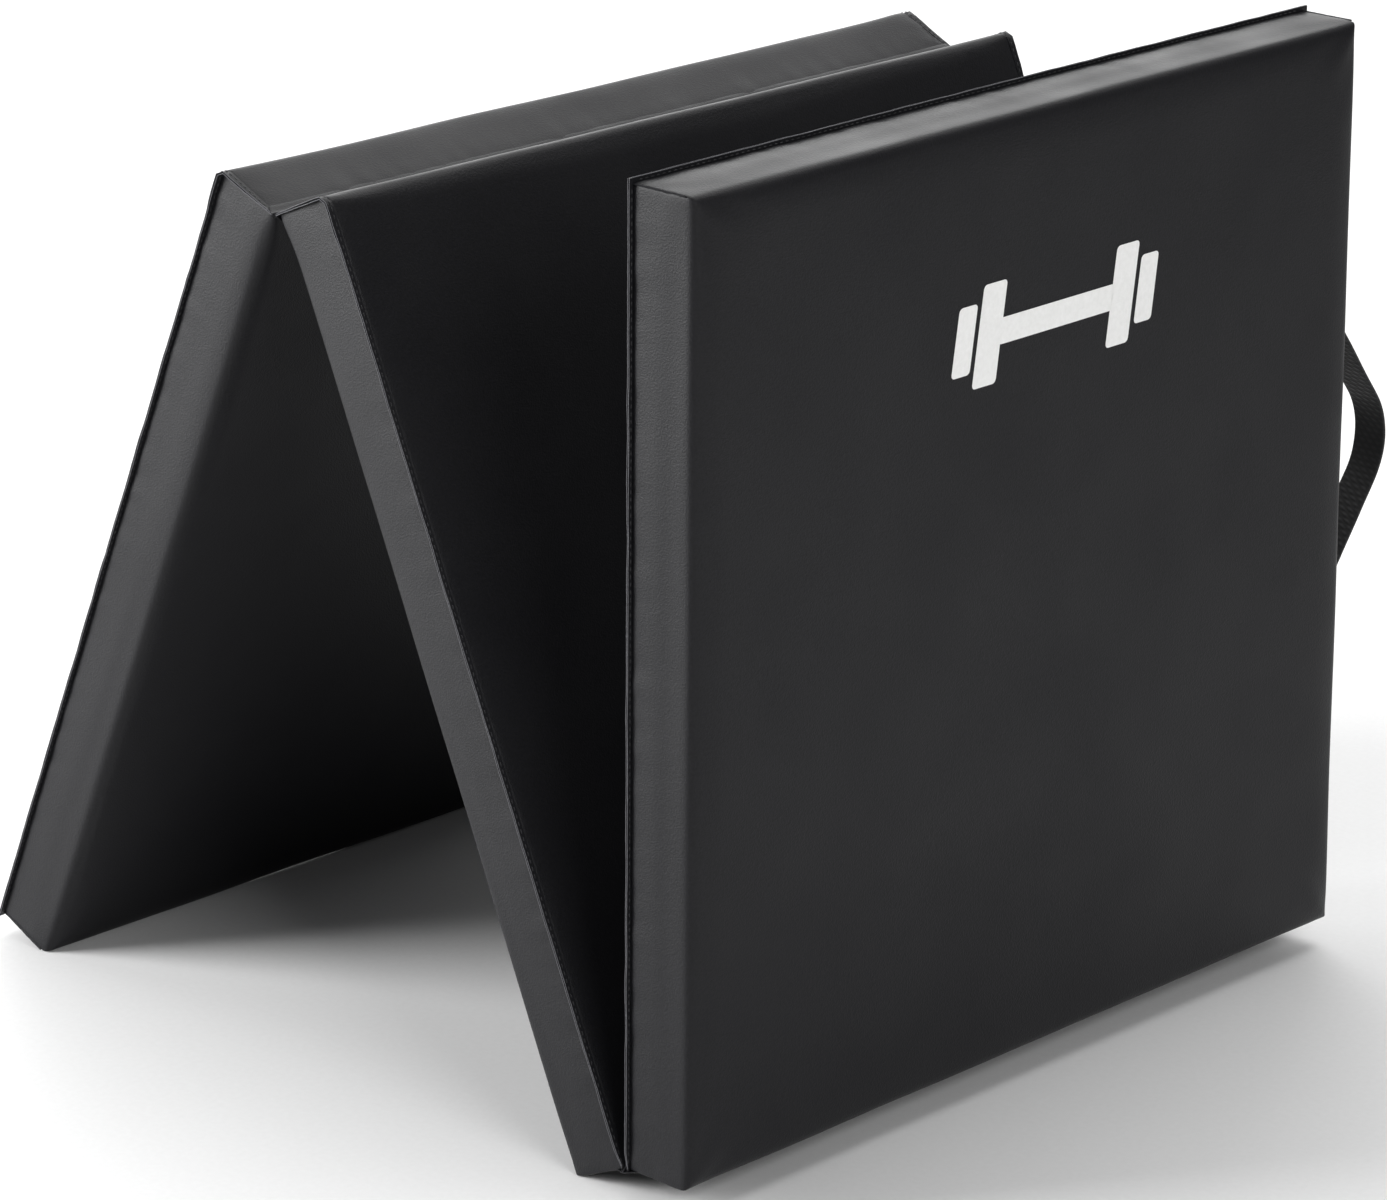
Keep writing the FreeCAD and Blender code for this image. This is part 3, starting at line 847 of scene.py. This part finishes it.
# Each profile is x and z on one panel's corner, from where the strip leaves the surface to the fold
UPPER_TOP = [(0.0420, 0.5992), (0.0445, 0.6002), (0.0475, 0.6004), (0.0496, 0.6003)]
UPPER_UNDER = [(0.0494, 0.5950), (0.0501, 0.5962), (0.0504, 0.5976), (0.0504, 0.5990)]
upper_outside = fold_strip("upper_fold_cloth", "middle_panel", "back_panel", UPPER_FOLD, UPPER_TOP)
upper_inside = fold_strip("upper_fold_lining", "middle_panel", "back_panel", UPPER_FOLD, UPPER_UNDER)
finish_fold(upper_outside, "back_panel", UPPER_FOLD, "upper_fold_web")
finish_fold(upper_inside, "back_panel", UPPER_FOLD)

LOWER_BETWEEN = [(0.0008, 0.0080), (-0.0002, 0.0055), (-0.0004, 0.0025), (-0.0004, 0.0004)]
LOWER_UNDER = [(0.0080, 0.0008), (0.0055, -0.0002), (0.0025, -0.0004), (0.0004, -0.0004)]
lower_outside = fold_strip("lower_fold_cloth", "middle_panel", "front_panel", LOWER_FOLD, LOWER_BETWEEN)
lower_inside = fold_strip("lower_fold_lining", "middle_panel", "front_panel", LOWER_FOLD, LOWER_UNDER)
finish_fold(lower_outside, "front_panel", LOWER_FOLD, "lower_fold_web")
finish_fold(lower_inside, "front_panel", LOWER_FOLD)

# %% [markdown]
# ## Webbing handles
# A handle is one length of 25 mm webbing, sewn flat to the panel at both ends and standing out in a
# loop between them.  The band is made straight, with its place along it kept as a UV map for the
# weave, and then bent along its middle line: tab, foot, leg, crown and down again.

# %% The handle's middle line
BAND = 0.0024                   # thickness of the webbing
BAND_WIDTH = 0.025
SPAN = 0.178                    # from foot to foot, measured where the legs would meet the panel
BULGE = 0.057                   # how far the loop stands out
LOOP = 0.046                    # radius of the crown's middle line
FOOT = 0.014                    # radius where a leg turns off the panel
TAB = 0.038                     # length sewn flat at each end
INSET = 0.004                   # how far the box stitches keep from the webbing's edges
HANDLE_MIDDLE = Vector((THICK / 2, HALF_WIDTH, 0.317))

crown_centre = BULGE - BAND - LOOP
slope = math.asin(LOOP / math.hypot(SPAN / 2, crown_centre)) + math.atan2(crown_centre, SPAN / 2)
foot_run = FOOT * math.tan(slope / 2)
foot_z = SPAN / 2 + foot_run


def half_line():
    """From the tab's end to the crown: (out, down, angle) every few millimetres."""
    points = [(BAND / 2, foot_z + TAB * (1 - k / 16), 0) for k in range(16)]
    for k in range(9):
        angle = slope * k / 8
        points.append((BAND / 2 + FOOT * (1 - math.cos(angle)), foot_z - FOOT * math.sin(angle), angle))
    top = (BAND / 2 + crown_centre + LOOP * math.cos(slope), LOOP * math.sin(slope))
    last = points[-1]
    for k in range(1, 20):
        share = k / 20
        points.append((last[0] + (top[0] - last[0]) * share, last[1] + (top[1] - last[1]) * share, slope))
    for k in range(13):
        angle = slope * (1 - k / 12)
        points.append((BAND / 2 + crown_centre + LOOP * math.cos(angle), LOOP * math.sin(angle), angle))
    return points


lower_half = half_line()
middle_line = lower_half + [(out, -down, -angle) for out, down, angle in reversed(lower_half[:-1])]
runs = [0.0]
for here, there in zip(middle_line, middle_line[1:]):
    runs.append(runs[-1] + math.hypot(there[0] - here[0], there[1] - here[1]))
print("the handle's webbing is", round(runs[-1] * 1000), "mm long")


# %% Bend a band into a handle
def on_line(run):
    """The middle line's place and direction at a distance along it."""
    for number in range(len(runs) - 1):
        if run <= runs[number + 1] or number == len(runs) - 2:
            share = (run - runs[number]) / (runs[number + 1] - runs[number])
            here, there = middle_line[number], middle_line[number + 1]
            return [a + (b - a) * share for a, b in zip(here, there)]


def handle_band(name, panel_name, seed):
    """Webbing from tab to tab, with the weave's UV map set while it is still flat."""
    band = block(name, (0, -BAND_WIDTH / 2, -BAND / 2), (runs[-1], BAND_WIDTH / 2, BAND / 2))
    bpy.ops.object.mode_set(mode="EDIT")
    pick("edges", lambda edge: runs_along(edge, 0, 0.1))
    bpy.ops.mesh.bevel(offset=0.0008, segments=3, affect="EDGES")
    cut_across(0, 99, 0.1)
    cut_across(1, 5, 0.01)
    bpy.ops.object.mode_set(mode="OBJECT")
    for layer in list(band.data.uv_layers):
        band.data.uv_layers.remove(layer)
    uvs = band.data.uv_layers.new(name="band")
    for loop in band.data.loops:
        co = band.data.vertices[loop.vertex_index].co
        uvs.data[loop.index].uv = (co.x, co.y)
    for vertex in band.data.vertices:
        run, across, height = vertex.co
        out, down, angle = on_line(run)
        up = 0.0004 * noise.noise((run / 0.02, across / 0.02, seed)) * ease(out, 0.003, 0.01)
        height += up
        vertex.co = HANDLE_MIDDLE + Vector((across, out + height * math.cos(angle),
                                            -down - height * math.sin(angle)))
    right_way_out(band)
    smooth(band, 50)
    return place(band, panel_name)


def tab_stitches(name, panel_name):
    """A box with a cross in it on each tab."""
    half = BAND_WIDTH / 2 - INSET
    rows = []
    for side in (-1, 1):
        low = side * (foot_z + TAB - INSET)
        high = side * (foot_z + INSET)
        corners = [(-half, low), (half, low), (half, high), (-half, high)]
        lines = list(zip(corners, corners[1:] + corners[:1]))
        lines += [(corners[0], corners[2]), (corners[1], corners[3])]
        for begin, end in lines:
            run = Vector((end[0] - begin[0], 0, end[1] - begin[1]))
            row = stitch_row(name + "_row", 0, run.length, 0, 0, pitch=0.0034)
            start = HANDLE_MIDDLE + Vector((begin[0], BAND + 0.0001, begin[1]))
            turn = Vector((1, 0, 0)).rotation_difference(run).to_matrix().to_4x4()
            row.matrix_world = Matrix.Translation(start) @ turn
            only(row)
            bpy.ops.object.transform_apply(location=True, rotation=True, scale=True)
            rows.append(row)
    joined = join(name, rows)
    smooth(joined, 50)
    return place(joined, panel_name)


for panel_name, handle_name, seed in (("front_panel", "front_handle", 3), ("back_panel", "back_handle", 8)):
    band = handle_band(handle_name + "_webbing", panel_name, seed)
    parts = [handle_name + part for part in ("_grip", "_legs", "_tabs")]
    finish_piece(band, WEBBING, "webbing", *parts)
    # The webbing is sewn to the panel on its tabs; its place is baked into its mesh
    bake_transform(band)
    thread = tab_stitches(handle_name + "_box_stitches", panel_name)
    finish_piece(thread, THREAD, "thread", handle_name + "_stitching")
    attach(thread, panel_name)

# %% [markdown]
# ## Floor, light and camera
# The mat stands on a plain pale floor in soft studio light.  A large light from the left and above
# brightens the panels' sides and ends, and the broad front faces away from it and stays dark.

# %% Floor
bpy.ops.object.select_all(action="DESELECT")
bpy.ops.mesh.primitive_plane_add(size=12, location=(0, 0, 0))
floor = bpy.context.object
floor.name = "floor"
FLOOR, tree, shader = new_material("matt studio paper", {"Roughness": 0.9})
place_on = add_node(tree, "ShaderNodeTexCoord").outputs["Object"]
tooth = add_node(tree, "ShaderNodeTexNoise", {}, {"Scale": per_metre(4), "Detail": 2},
                 {"Vector": place_on})
paper = add_node(tree, "ShaderNodeMix", {"data_type": "RGBA"},
                 {"A": colour("#EFEFEF"), "B": colour("#F6F6F6")}, {"Factor": tooth.outputs["Fac"]})
tree.links.new(paper.outputs["Result"], shader.inputs["Base Color"])
floor.data.materials.append(FLOOR)


# %% Lights
def panel_light(name, place_at, aim, size, power):
    """A rectangular soft box at one point, turned to face another."""
    bpy.ops.object.light_add(type="AREA", location=place_at)
    light = bpy.context.object
    light.name = name
    light.data.shape = "RECTANGLE"
    light.data.size = size[0]
    light.data.size_y = size[1]
    light.data.energy = power
    light.rotation_euler = (Vector(aim) - Vector(place_at)).to_track_quat("-Z", "Y").to_euler()


panel_light("key_softbox", (-2.4, -2.9, 1.3), (0, -0.2, 0.3), (2.0, 2.0), 240)
panel_light("overhead_softbox", (-0.3, 0.9, 3.1), (0, 0, 0), (3.0, 3.0), 78)
panel_light("back_softbox", (-2.6, 2.6, 1.6), (0, 0, 0.6), (3.0, 1.8), 58)
panel_light("fill_softbox", (3.2, -1.0, 1.9), (0.2, 0, 0.3), (1.6, 1.6), 48)

world = bpy.data.worlds.new("pale studio")
world.use_nodes = True
bpy.context.scene.world = world
world.node_tree.nodes["Background"].inputs["Color"].default_value = (1, 1, 1, 1)
world.node_tree.nodes["Background"].inputs["Strength"].default_value = 0.12
bpy.context.scene.view_settings.view_transform = "Standard"

# %% Camera
bpy.ops.object.camera_add(location=(2.3892, -2.4282, 1.3861))
camera = bpy.context.object
yaw, pitch = math.radians(-44.516), math.radians(-18.744)
forward = Vector((math.sin(yaw) * math.cos(pitch), math.cos(yaw) * math.cos(pitch), math.sin(pitch)))
camera.rotation_euler = forward.to_track_quat("-Z", "Y").to_euler()
camera.data.lens = 143.97
camera.data.sensor_width = 36
camera.data.clip_end = 100
bpy.context.scene.camera = camera
print("camera looks along", [round(v, 3) for v in forward])

# %% Update the scene
bpy.context.view_layer.update()
